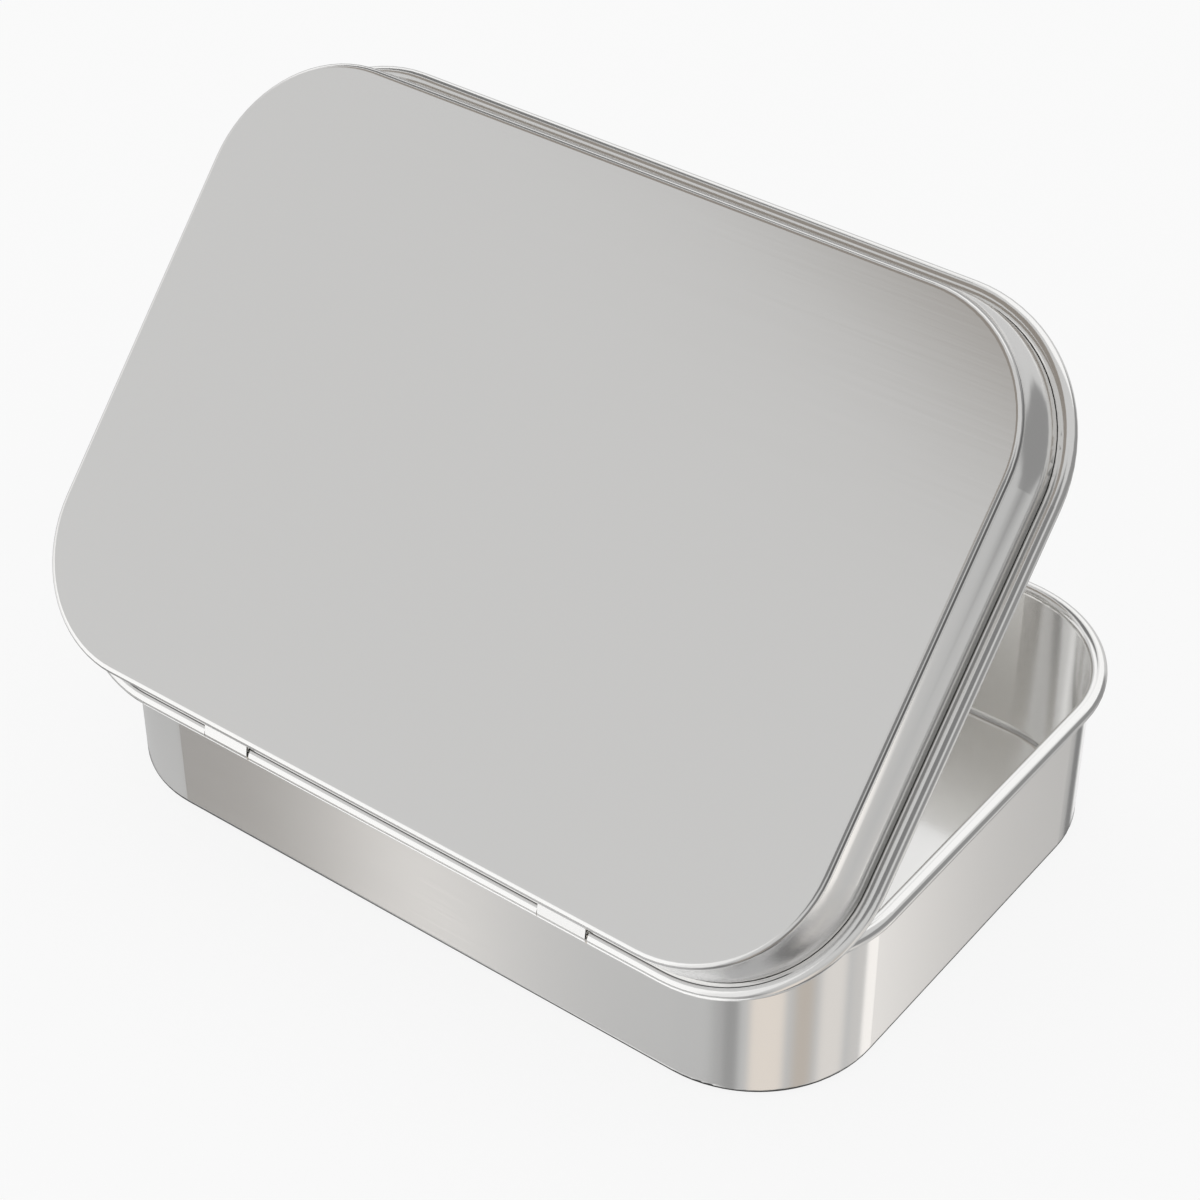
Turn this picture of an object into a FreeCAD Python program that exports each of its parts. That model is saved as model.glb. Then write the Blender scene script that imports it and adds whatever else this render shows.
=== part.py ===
"""Hinged tin box: a rolled-rim sheet-metal tin with a lid that turns on two rolled hinge knuckles.

Millimetres, +Z up.  The origin is the centre of the underside, -Y is the opening side and the hinge
line lies along X behind the rear wall.  Both sheets are followed by their middle line, bend by bend.
"""
import FreeCAD, Part
import math
import os

V = FreeCAD.Vector

# ---- driving dimensions ------------------------------------------------------------------------
box_width = 95.0          # across the side walls, outer faces
box_depth = 66.2          # front wall to rear wall, outer faces
corner_radius = 14.4      # of the wall's outer face, seen from above
rim_height = 20.8         # underside to the top of the rolled rim
sheet = 0.3               # tinplate thickness
floor_bend = 1.0          # outer radius where the floor turns up into the wall
rim_roll = 1.85           # diameter of the rolled rim
rim_curl = 300.0          # how far the rim is rolled round, degrees

closed_height = 25.75     # underside of the box to the top of the closed lid
lid_clearance = 0.2       # between the rolled rim and the lid's skirt
lid_corner_ease = 1.0     # the lid's corners are this much tighter than concentric ones
lid_edge_inset = 0.75     # the lid's top edge stands in from the skirt by this
lid_edge_bend = 0.65      # outer radius where the lid's top turns down
lip_run = 0.08            # straight lip under that edge
lip_bend = 0.25           # middle radius of the fold back under the lip
lip_angle = 12.0          # how steeply the sheet turns in there, and back again
flare_height = 5.6        # of the slow S-curve that carries the sheet out to the skirt
bead_roll = 2.0           # diameter of the wire-like bead round the lid
bead_gap = 0.057          # between the end of the bead's roll and the skirt

hinge_height = 17.15      # of the hinge line over the underside
hinge_spacing = 44.4      # between the middles of the two hinges
knuckle_width = 5.9       # of the lid's knuckle
knuckle_slope = 55.0      # how steeply the sheet leaves the skirt for the knuckle, degrees
knuckle_bend = 0.8        # middle radius of that turn
knuckle_tail = 90.0       # where the knuckle's roll ends, degrees below the level of its axis
open_slit = 0.28          # cut beside each knuckle, on its -X side
tight_slit = 0.08         # cut beside each knuckle, on its +X side
pin_clearance = 0.1       # between the strap's roll and the knuckle round it
strap_inset = 0.25        # the strap is narrower than the knuckle by this on each side
strap_room = 0.25         # gap beside the strap in the rolled rim
strap_bend = 0.35         # middle radius where the strap turns towards its roll
wrap_gap = 0.095          # between the end of the strap's roll and the strap over it
rest_opening = 47.3       # how far the lid stands open, degrees

# ---- sizes that follow -------------------------------------------------------------------------
rim_out = rim_roll - sheet                          # rim's outermost line, out from the wall
rim_centre = rim_roll / 2 - sheet                   # centre of the rim's roll, out from the wall
rim_mid = (rim_roll - sheet) / 2                    # middle radius of the rim's roll
rim_z = rim_height - rim_roll / 2
skirt_in = rim_out + lid_clearance                  # lid skirt's inner face, out from the wall
skirt_out = skirt_in + sheet
bead_centre = skirt_in + bead_roll / 2              # also the hinge line, out from the rear wall
bead_mid = (bead_roll - sheet) / 2
bead_end = math.degrees(math.acos((bead_mid - sheet / 2 - bead_gap) / (bead_mid + sheet / 2)))
bead_curl = 360 - bead_end                          # how far the bead is rolled round
pin_mid = bead_mid - sheet - pin_clearance
pin_rise = math.degrees(math.asin((pin_mid - sheet / 2 - wrap_gap) / (pin_mid + sheet / 2)))
pin_wrap = 270 + pin_rise                           # how far the strap's roll goes round from its top
hinge_y = box_depth / 2 + bead_centre
strap_mid = rim_centre + rim_mid
strap_width = knuckle_width - 2 * strap_inset


def strip(start, heading, moves):
    """Face of one sheet whose middle line starts at (out, up) and makes runs and turns."""
    h = sheet / 2
    x, z = start
    a = math.radians(heading)
    left = []
    right = []

    def side(s):
        return V(x - s * h * math.sin(a), 0, z + s * h * math.cos(a))

    first = (side(1), side(-1))
    for kind, size, *rest in moves:
        before = (side(1), side(-1))
        if kind == "run":
            x += size * math.cos(a)
            z += size * math.sin(a)
            left.append(Part.LineSegment(before[0], side(1)).toShape())
            right.append(Part.LineSegment(before[1], side(-1)).toShape())
            continue
        turn = math.radians(size)
        s = 1 if turn > 0 else -1
        cx = x - s * rest[0] * math.sin(a)
        cz = z + s * rest[0] * math.cos(a)
        middle = None
        for part in (0.5, 1.0):
            b = a + turn * part
            px = cx + s * rest[0] * math.sin(b)
            pz = cz - s * rest[0] * math.cos(b)
            points = []
            for k in (1, -1):
                points.append(V(px - k * h * math.sin(b), 0, pz + k * h * math.cos(b)))
            if middle is None:
                middle = points
        x, z, a = px, pz, a + turn
        left.append(Part.Arc(before[0], middle[0], points[0]).toShape())
        right.append(Part.Arc(before[1], middle[1], points[1]).toShape())
    last = (side(1), side(-1))
    cap = Part.LineSegment(last[0], last[1]).toShape()
    foot = Part.LineSegment(first[1], first[0]).toShape()
    edges = left + [cap] + right[::-1] + [foot]
    return Part.Face(Part.Wire(Part.__sortEdges__(edges)))


def drop(angle, radius):
    """How far down a bend reaches."""
    return radius * math.sin(math.radians(angle))


def shift(angle, radius):
    """How far sideways a bend reaches."""
    return radius * (1 - math.cos(math.radians(angle)))


def plate(half_x, half_y, radius, bottom):
    """Flat sheet with rounded corners."""
    cx = half_x - radius
    cy = half_y - radius
    body = Part.makeBox(2 * half_x, 2 * cy, sheet, V(-half_x, -cy, bottom))
    body = body.fuse(Part.makeBox(2 * cx, 2 * half_y, sheet, V(-cx, -half_y, bottom)))
    for sx in (-1, 1):
        for sy in (-1, 1):
            body = body.fuse(Part.makeCylinder(radius, sheet, V(sx * cx, sy * cy, bottom)))
    return body.removeSplitter()


def ring(face, half_x, half_y, radius):
    """The profile carried round a rounded rectangle; its zero line is the rectangle."""
    solids = []
    for k in range(4):
        a, b = (half_x, half_y) if k % 2 == 0 else (half_y, half_x)
        start = face.copy()
        start.translate(V(a, -(b - radius), 0))
        straight = start.extrude(V(0, 2 * (b - radius), 0))
        start = face.copy()
        start.translate(V(a, b - radius, 0))
        bend = start.revolve(V(a - radius, b - radius, 0), V(0, 0, 1), 90)
        for s in (straight, bend):
            s.rotate(V(0, 0, 0), V(0, 0, 1), 90 * k)
            solids.append(s)
    return solids


def across(face, y, width, x):
    """The profile as a tab of the given width, facing the rear; its zero line is at y."""
    tab = face.copy()
    tab.rotate(V(0, 0, 0), V(0, 0, 1), 90)
    tab.translate(V(x + width / 2, y, 0))
    return tab.extrude(V(-width, 0, 0))


def one(body):
    solids = body.removeSplitter().Solids
    assert len(solids) == 1 and solids[0].isValid()
    return solids[0]


hinges = (-hinge_spacing / 2, hinge_spacing / 2)

# ---- base: floor, wall, rolled rim and two hinge straps ------------------------------------------
half_x = box_width / 2
half_y = box_depth / 2
bend = floor_bend - sheet / 2
wall_run = rim_z - floor_bend
wall = strip((-floor_bend, sheet / 2), 0, [
    ("turn", 90, bend),
    ("run", wall_run),
    ("turn", -rim_curl, rim_mid),
])
base = plate(half_x - floor_bend, half_y - floor_bend, corner_radius - floor_bend, 0)
base = base.multiFuse(ring(wall, half_x, half_y, corner_radius))
base = base.removeSplitter()

strap_turn = hinge_height + pin_mid + strap_bend
strap = strip((strap_mid, rim_z), -90, [
    ("run", rim_z - strap_turn),
    ("turn", 90, strap_bend),
    ("run", bead_centre - strap_mid - strap_bend),
    ("turn", -pin_wrap, pin_mid),
])
for x in hinges:
    room = Part.makeBox(strap_width + 2 * strap_room, rim_roll, rim_roll,
                        V(x - strap_width / 2 - strap_room, half_y + 0.02, rim_z - rim_roll))
    base = base.cut(room)
    base = base.fuse(across(strap, half_y, strap_width, x))
base = one(base)

# ---- lid, closed: top, lip, flared skirt and bead, and two knuckles -------------------------------
top_mid = closed_height - sheet / 2
edge_mid = lid_edge_bend - sheet / 2
flare_reach = lid_edge_inset + 2 * shift(lip_angle, lip_bend)
flare_angle = 2 * math.degrees(math.atan(flare_reach / flare_height))
flare_bend = flare_height / (2 * math.sin(math.radians(flare_angle)))
flare_top = top_mid - edge_mid - lip_run - 2 * drop(lip_angle, lip_bend)
skirt_run = flare_top - flare_height - hinge_height
skirt = strip((-lid_edge_inset - lid_edge_bend, top_mid), 0, [
    ("turn", -90, edge_mid),
    ("run", lip_run),
    ("turn", -lip_angle, lip_bend),
    ("turn", lip_angle, lip_bend),
    ("turn", flare_angle, flare_bend),
    ("turn", -flare_angle, flare_bend),
    ("run", skirt_run),
    ("turn", bead_curl, bead_mid),
])
lid_x = half_x + skirt_out
lid_y = half_y + skirt_out
lid_r = corner_radius + skirt_out - lid_corner_ease
flat = lid_edge_inset + lid_edge_bend
lid = plate(lid_x - flat, lid_y - flat, lid_r - flat, closed_height - sheet)
lid = lid.multiFuse(ring(skirt, lid_x, lid_y, lid_r))
lid = lid.removeSplitter()

half_slope = math.tan(math.radians(knuckle_slope / 2))
slope_run = bead_mid / half_slope                   # from the skirt's line to the knuckle's roll
knuckle_start = hinge_height + slope_run + knuckle_bend * half_slope
cut_top = knuckle_start + sheet
knuckle = strip((bead_centre - bead_mid, cut_top), -90, [
    ("run", cut_top - knuckle_start),
    ("turn", knuckle_slope, knuckle_bend),
    ("run", slope_run - knuckle_bend * half_slope),
    ("turn", -(knuckle_slope + knuckle_tail), bead_mid),
])
cut_low = hinge_height - bead_roll / 2 - 0.1
cut_front = hinge_y - bead_roll / 2 - 0.1
for x in hinges:
    room = Part.makeBox(knuckle_width + open_slit + tight_slit, bead_roll + 0.2, cut_top - cut_low,
                        V(x - knuckle_width / 2 - open_slit, cut_front, cut_low))
    lid = lid.cut(room)
    lid = lid.fuse(across(knuckle, half_y, knuckle_width, x))
lid = one(lid)

# the lid stands open at rest
lid.rotate(V(0, hinge_y, hinge_height), V(-1, 0, 0), rest_opening)

os.makedirs("parts", exist_ok=True)
for name, body in (("base", base), ("lid", lid)):
    body.exportStep(f"parts/{name}.step")
    print(name, "volume", round(body.Volume, 1), "centre", [round(v, 2) for v in body.CenterOfMass])
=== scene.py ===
import bpy
import math
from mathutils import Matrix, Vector


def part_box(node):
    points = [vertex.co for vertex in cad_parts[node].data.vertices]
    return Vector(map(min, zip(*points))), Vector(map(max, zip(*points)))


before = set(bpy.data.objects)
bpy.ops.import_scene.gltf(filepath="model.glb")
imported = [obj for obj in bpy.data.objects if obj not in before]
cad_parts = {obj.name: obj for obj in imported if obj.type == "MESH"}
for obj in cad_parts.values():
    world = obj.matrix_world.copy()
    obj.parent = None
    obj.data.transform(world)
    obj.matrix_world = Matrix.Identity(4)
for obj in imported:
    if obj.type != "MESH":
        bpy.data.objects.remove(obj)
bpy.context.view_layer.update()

# ---- sizes in metres, degrees and levels ---------------------------------------------------------
camera_place = (-0.14867, 0.19767, 0.21982)
camera_turn = 217.1            # round the tin, from straight in front of the opening side
camera_lift = 38.365           # above the table
camera_lens = 87.88            # on the sensor of the next line, both in millimetres
camera_sensor = 36.0
table_size = 3.0

rim_reach = 0.00155            # the rolled rim stands out from the wall by this
corner_radius = 0.0144         # of the tin's wall
base_low, base_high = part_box("base")
wall_outline = (base_high[0] - rim_reach, -base_low[1] - rim_reach, corner_radius)
skirt_outline = (0.04955, 0.03515, 0.01545)   # half sizes and corner radius of the lid's skirt
hinge_line = (0.03585, 0.01715)               # how far behind the middle and how high
lid_open = math.radians(47.3)

# Painted shade lines and the frosted skirt: first where they lie, then half width and softness of the
# edge.
fold_shade_place = 0.0005            # painted shade between floor and wall: height, and distance in from the wall's face
fold_shade_tall = (0.00018, 0.00016)
fold_shade_wide = (0.00022, 0.00010)
lip_shade_height = 0.00826           # painted shade line on the lid's edge: its height over the hinge line, with the lid closed
lip_shade_tall = (0.00012, 0.00008)
lip_shade_start = (-0.00108, 0.0001)                # from here outwards, which keeps the underside clean
crease_shade_height = 0.00098        # painted shade where the bead begins: its height over the hinge line, with the lid closed
crease_shade_reach = 0.00045         # how far out of the skirt that is
crease_shade_tall = (0.00010, 0.00008)
crease_shade_wide = (0.00006, 0.00004)
crease_shade_start = (0.0300, 0.001)                # from here towards the hinge side
skirt_middle = 0.0046          # half way up the skirt over the hinge line, with the lid closed
skirt_tall = (0.0033, 0.0012)
frost_corner = (0.002, 0.006)                 # from here into a corner
frost_start = (0.0, 0.010)                    # from here towards the hinge side

tin_colour = (0.905, 0.900, 0.889, 1.0)
tin_roughness = 0.14
grain_scale = (60.0, 2600.0, 2600.0)          # long streaks along the tin
grain_bump = (0.05, 0.00002)                  # strength, and depth of the streaks
cloud_scale = 38.0
speck_scale = 7000.0
speck_bump = (0.40, 0.00004)

contact_shade = 0.0006         # width of the painted contact shadow, a dark line where the tin meets the table
table_paint = 0.09             # shows the shadow to the eye
table_glow = 0.87              # the rest of the table's white to the eye
table_bounce = 0.8             # of the light that the table throws back
background_white = 0.96        # of the room as the eye sees it
room_light = 0.93              # of the room on all that is not mirrored
studio_light = 0.95            # of the room as the tin mirrors it
sky_tone = 0.66
ground_tone = 0.57
horizon = (-15.0, 20.0)        # the ground's tone ends here, over this softness
mirror_bounces = 14            # the inside of the tin mirrors itself many times over


class Socket:
    """One output of a node, with arithmetic that adds Math nodes."""

    def __init__(self, tree, source):
        self.tree = tree
        self.source = source

    def _math(self, operation, *values):
        return add(self.tree, "ShaderNodeMath", {"operation": operation}, dict(enumerate(values)))

    def through(self, operation):
        return self._math(operation, self)

    def __add__(self, other):
        return self._math("ADD", self, other)

    __radd__ = __add__

    def __sub__(self, other):
        return self._math("SUBTRACT", self, other)

    def __rsub__(self, other):
        return self._math("SUBTRACT", other, self)

    def __mul__(self, other):
        return self._math("MULTIPLY", self, other)

    __rmul__ = __mul__

    def __truediv__(self, other):
        return self._math("DIVIDE", self, other)

    def power(self, other):
        return self._math("POWER", self, other)

    def smaller(self, other):
        return self._math("MINIMUM", self, other)

    def larger(self, other):
        return self._math("MAXIMUM", self, other)


def add(tree, kind, settings=None, values=None, output=0):
    """A node with its settings made first and then its sockets filled or linked."""
    node = tree.nodes.new(kind)
    for name, value in (settings or {}).items():
        setattr(node, name, value)
    for name, value in (values or {}).items():
        socket = node.inputs[name]
        if isinstance(value, Socket):
            tree.links.new(value.source, socket)
        else:
            socket.default_value = value
    return Socket(tree, node.outputs[output])


def fresh_material(name):
    material = bpy.data.materials.new(name)
    material.use_nodes = True
    material.node_tree.nodes.clear()
    return material, material.node_tree


def end_with(tree, shader, kind="ShaderNodeOutputMaterial"):
    node = tree.nodes.new(kind)
    tree.links.new(shader.source, node.inputs["Surface"])


def kinds_of_ray(tree):
    """1 for what the eye sees straight away, and 1 for what is mirrored."""
    ray = tree.nodes.new("ShaderNodeLightPath")
    return Socket(tree, ray.outputs["Is Camera Ray"]), Socket(tree, ray.outputs["Is Glossy Ray"])


def split(tree, vector):
    """The three parts of a vector."""
    node = tree.nodes.new("ShaderNodeSeparateXYZ")
    tree.links.new(vector.source, node.inputs[0])
    return [Socket(tree, node.outputs[k]) for k in range(3)]


def grey(level):
    return level, level, level, 1.0


def blend(tree, share, under, over):
    """A colour with a share of another one over it."""
    return add(tree, "ShaderNodeMix", {"data_type": "RGBA"},
               {"Factor": share, 6: under, 7: over}, output=2)


def switch(tree, share, first, second):
    """A shader with a share of another one instead of it."""
    return add(tree, "ShaderNodeMixShader", None, {0: share, 1: first, 2: second})


def noise(tree, place, scale, detail):
    return add(tree, "ShaderNodeTexNoise", None, {"Vector": place, "Scale": scale, "Detail": detail})


def below(value, end, soft):
    """1 below the end, falling smoothly to 0 over the softness round it."""
    return add(value.tree, "ShaderNodeMapRange", {"interpolation_type": "SMOOTHSTEP"},
               {"Value": value, "From Min": end - soft / 2, "From Max": end + soft / 2,
                "To Min": 1.0, "To Max": 0.0})


def beyond(value, start, soft):
    """1 beyond the start, falling smoothly to 0 over the softness round it."""
    return 1.0 - below(value, start, soft)


def near(distance, half, soft):
    """1 within the half width on both sides of a line, falling smoothly to 0 over the softness."""
    return below(distance.through("ABSOLUTE"), half, soft)


def past_outline(x, y, half_x, half_y, radius):
    """How far a point is outside a rounded rectangle, and how far it is into a corner."""
    past_x = x.through("ABSOLUTE") - (half_x - radius)
    past_y = y.through("ABSOLUTE") - (half_y - radius)
    reach_x = past_x.larger(0.0)
    reach_y = past_y.larger(0.0)
    return (reach_x * reach_x + reach_y * reach_y).power(0.5) - radius, past_x.smaller(past_y)


# ---- finishes ------------------------------------------------------------------------------------
def rolled_sheet(tree):
    """Place on the sheet, and the roughness and bump left by the mill that rolled it."""
    place = add(tree, "ShaderNodeTexCoord", output=3)
    grain_place = add(tree, "ShaderNodeMapping", None, {"Vector": place, "Scale": grain_scale})
    grain = noise(tree, grain_place, 1.0, 4.0)
    cloud = noise(tree, place, cloud_scale, 3.0)
    roughness = tin_roughness + 0.04 * (grain - 0.5) + 0.03 * (cloud - 0.5)
    strength, depth = grain_bump
    bump = add(tree, "ShaderNodeBump", None, {"Strength": strength, "Distance": depth, "Height": grain})
    return place, roughness, bump


def end_with_metal(tree, colour, roughness, bump):
    end_with(tree, add(tree, "ShaderNodeBsdfPrincipled", None, {
        "Base Color": colour,
        "Metallic": 1.0,
        "Roughness": roughness,
        "Normal": bump,
    }))


def bright_tinplate():
    """The box's finish, with a painted shade line in the bend between floor and wall."""
    material, tree = fresh_material("bright tinplate")
    place, roughness, bump = rolled_sheet(tree)
    x, y, z = split(tree, place)
    outside_by, into_corner = past_outline(x, y, *wall_outline)
    # painted shade: the tin's colour darkened along the bend between floor and wall
    painted_fold_shade = near(z - fold_shade_place, *fold_shade_tall) * near(outside_by + fold_shade_place, *fold_shade_wide)
    end_with_metal(tree, blend(tree, 0.50 * painted_fold_shade, tin_colour, grey(0.10)), roughness, bump)
    return material


def pressed_tinplate():
    """The lid's finish.

    The lower half of the lid's edge and the line where the rear bead begins carry painted shade,
    and the skirt is frosted where the press stretched it round the corners of the hinge side.
    """
    material, tree = fresh_material("pressed tinplate")
    place, roughness, bump = rolled_sheet(tree)
    x, y, z = split(tree, place)
    back = y - hinge_line[0]
    high = z - hinge_line[1]
    closed_y = back * math.cos(lid_open) - high * math.sin(lid_open) + hinge_line[0]
    closed_high = back * math.sin(lid_open) + high * math.cos(lid_open)
    outside_by, into_corner = past_outline(x, closed_y, *skirt_outline)

    # painted shade: a dark line along the lower half of the lid's edge
    painted_lip_shade = near(closed_high - lip_shade_height, *lip_shade_tall) * beyond(outside_by, *lip_shade_start)
    # painted shade: a dark line where the rear bead begins out of the skirt
    painted_crease_shade = near(closed_high - crease_shade_height, *crease_shade_tall) * beyond(closed_y, *crease_shade_start)
    painted_crease_shade = painted_crease_shade * near(outside_by - crease_shade_reach, *crease_shade_wide)
    frost = near(closed_high - skirt_middle, *skirt_tall) * beyond(into_corner, *frost_corner)
    frost = frost * beyond(closed_y, *frost_start)
    speck = noise(tree, place, speck_scale, 2.0)

    # the painted shade lines darken the tin's colour
    colour = blend(tree, 0.65 * painted_lip_shade, tin_colour, grey(0.10))
    colour = blend(tree, 0.90 * painted_crease_shade, colour, grey(0.04))
    colour = blend(tree, frost * (0.10 + 0.5 * speck), colour, (0.42, 0.42, 0.43, 1.0))
    strength, depth = speck_bump
    bump = add(tree, "ShaderNodeBump", None, {
        "Strength": strength, "Distance": depth, "Height": speck * frost, "Normal": bump})
    end_with_metal(tree, colour, roughness + 0.10 * frost, bump)
    return material


for node, finish in {"base": bright_tinplate(), "lid": pressed_tinplate()}.items():
    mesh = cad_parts[node].data
    for k in range(len(mesh.materials)):
        mesh.materials[k] = finish

# ---- table ---------------------------------------------------------------------------------------
# The eye sees it pale with the tin's shadow, and the tin mirrors only a painted contact shadow: a dark
# line where it stands.
bpy.ops.mesh.primitive_plane_add(size=table_size, location=(0, 0, 0))
table = bpy.context.object
table.name = "table"
material, tree = fresh_material("pale table")
seen, mirrored = kinds_of_ray(tree)
x, y, z = split(tree, add(tree, "ShaderNodeTexCoord", output=3))
gap, into_corner = past_outline(x, y, *wall_outline)
under = add(tree, "ShaderNodeMapRange", {"interpolation_type": "SMOOTHSTEP"},
            {"Value": gap, "From Min": contact_shade, "From Max": 0.0, "To Min": 0.0, "To Max": 1.0})
paint = add(tree, "ShaderNodeBsdfDiffuse", None, {"Color": grey(table_paint)})
glow = add(tree, "ShaderNodeEmission", None, {"Color": grey(1.0), "Strength": table_glow})
lit = add(tree, "ShaderNodeAddShader", None, {0: paint, 1: glow})
plain = add(tree, "ShaderNodeBsdfDiffuse", None, {"Color": grey(table_bounce)})
shade = add(tree, "ShaderNodeEmission", None, {"Color": grey(0.05)})
# painted contact shadow: mirrored rays see a dark glow along the tin's outline on the table
mirrored_contact_shadow = switch(tree, under, add(tree, "ShaderNodeBsdfTransparent"), shade)
end_with(tree, switch(tree, mirrored, switch(tree, seen, plain, lit), mirrored_contact_shadow))
table.data.materials.append(material)

# ---- room ----------------------------------------------------------------------------------------
# What the bright metal mirrors: a plain pale room with soft boxes and dark screens round the table.
# Each is (azimuth, half width, lift, half height, softness, level, warmth); azimuth 0 is over the
# hinge side and 90 over the +X end.
screens = (
    (38, 50, 65, 21.5, 2.5, 0.27, 0.10),   # dark ceiling past the tall box
    (-44, 24, 30, 15, 7, 0.22, 0.0),       # dark screen on the viewer's side
    (-125, 40, -6, 20, 5, 0.30, 0.0),      # dark screen along the -X end
    (130, 45, 40, 18, 8, 0.88, 0.0),       # box beyond the far end
    (145, 45, 25, 11, 6, 1.06, 0.0),       # brighter box under it
    (-173, 34, 42, 26, 5, 1.06, 0.0),      # box high over the opening side
    (116, 20, 47, 12, 4, 0.20, 0.0),       # dark screen high over the +X end
    (38, 48, -7.5, 27.5, 2, 0.92, 0.0),    # long low box behind the hinge
    (34, 23, -7.5, 27.5, 7, 1.12, 0.0),    # its brighter middle
    (60, 84, -68, 15, 2, 1.12, 0.0),       # pale sheet on the ground behind the hinge
    (38, 60, -37.2, 1.2, 1.0, 0.12, 0.0),  # dark edge of the low box
    (38, 60, -51.5, 1.5, 1.0, 0.20, 0.0),  # dark edge of the pale sheet
    (153, 25, -42, 12, 6, 0.95, 0.0),      # pale ground before the opening
    (47.4, 3.4, -44, 5.5, 2.4, 0.34, 0.05),
    (42, 1.6, -44, 5.5, 1.4, 1.02, 0.03),
    (-9, 8, -50, 16, 14, 0.45, 0.0),
    (-17, 6, -50, 16, 7, 0.35, 0.0),
    (-46, 14, -50, 16, 8, 0.77, 0.085),
    (-76, 8, -50, 16, 10, 0.50, 0.10),
    (-102, 12, -50, 16, 9, 0.76, 0.04),
    (-127, 6, -50, 16, 8, 0.62, 0.02),
    (-100, 45, -67, 6, 3, 0.16, 0.0),      # dark spot near the ground's middle
    (-143.5, 8.0, -47, 9, 2, 1.05, 0.03),
    (-157, 5.5, -43, 14, 3, 0.51, 0.015),
    (-172, 8, -43, 14, 3, 0.23, 0.0),
)

bpy.context.scene.cycles.max_bounces = mirror_bounces
bpy.context.scene.cycles.glossy_bounces = mirror_bounces
world = bpy.data.worlds.new("studio")
bpy.context.scene.world = world
world.use_nodes = True
tree = world.node_tree
tree.nodes.clear()
seen, mirrored = kinds_of_ray(tree)
east, north, up = split(tree, add(tree, "ShaderNodeTexCoord", output=0))
level_out = (east * east + north * north).power(0.5).larger(1e-4)
degrees = 180 / math.pi
lift = degrees * up.through("ARCSINE")

colour = blend(tree, below(lift, *horizon), grey(sky_tone), grey(ground_tone))
for azimuth, half, high, tall, soft, level, warmth in screens:
    a = math.radians(azimuth)
    facing = (math.sin(a) * east + math.cos(a) * north) / level_out
    off = degrees * facing.smaller(1.0).larger(-1.0).through("ARCCOSINE")
    mask = below(off, half, soft) * near(lift - high, tall, soft)
    colour = blend(tree, mask, colour, (level * (1 + warmth), level, level * (1 - warmth), 1.0))

plain = add(tree, "ShaderNodeBackground", None, {"Color": grey(1.0), "Strength": room_light})
white = add(tree, "ShaderNodeBackground", None, {"Color": grey(1.0), "Strength": background_white})
studio = add(tree, "ShaderNodeBackground", None, {"Color": colour, "Strength": studio_light})
room = switch(tree, seen, switch(tree, mirrored, plain, studio), white)
end_with(tree, room, "ShaderNodeOutputWorld")

# ---- camera --------------------------------------------------------------------------------------
camera = bpy.data.objects.new("camera", bpy.data.cameras.new("camera"))
bpy.context.collection.objects.link(camera)
turn = math.radians(camera_turn)
rise = math.radians(camera_lift)
back = Vector((math.sin(turn) * math.cos(rise), -math.cos(turn) * math.cos(rise), math.sin(rise)))
camera.location = camera_place
camera.rotation_mode = "QUATERNION"
camera.rotation_quaternion = (-back).to_track_quat("-Z", "Y")
camera.data.lens = camera_lens
camera.data.sensor_width = camera_sensor
camera.data.clip_start = 0.01
camera.data.clip_end = 10.0
bpy.context.scene.camera = camera
bpy.context.scene.view_settings.view_transform = "Standard"
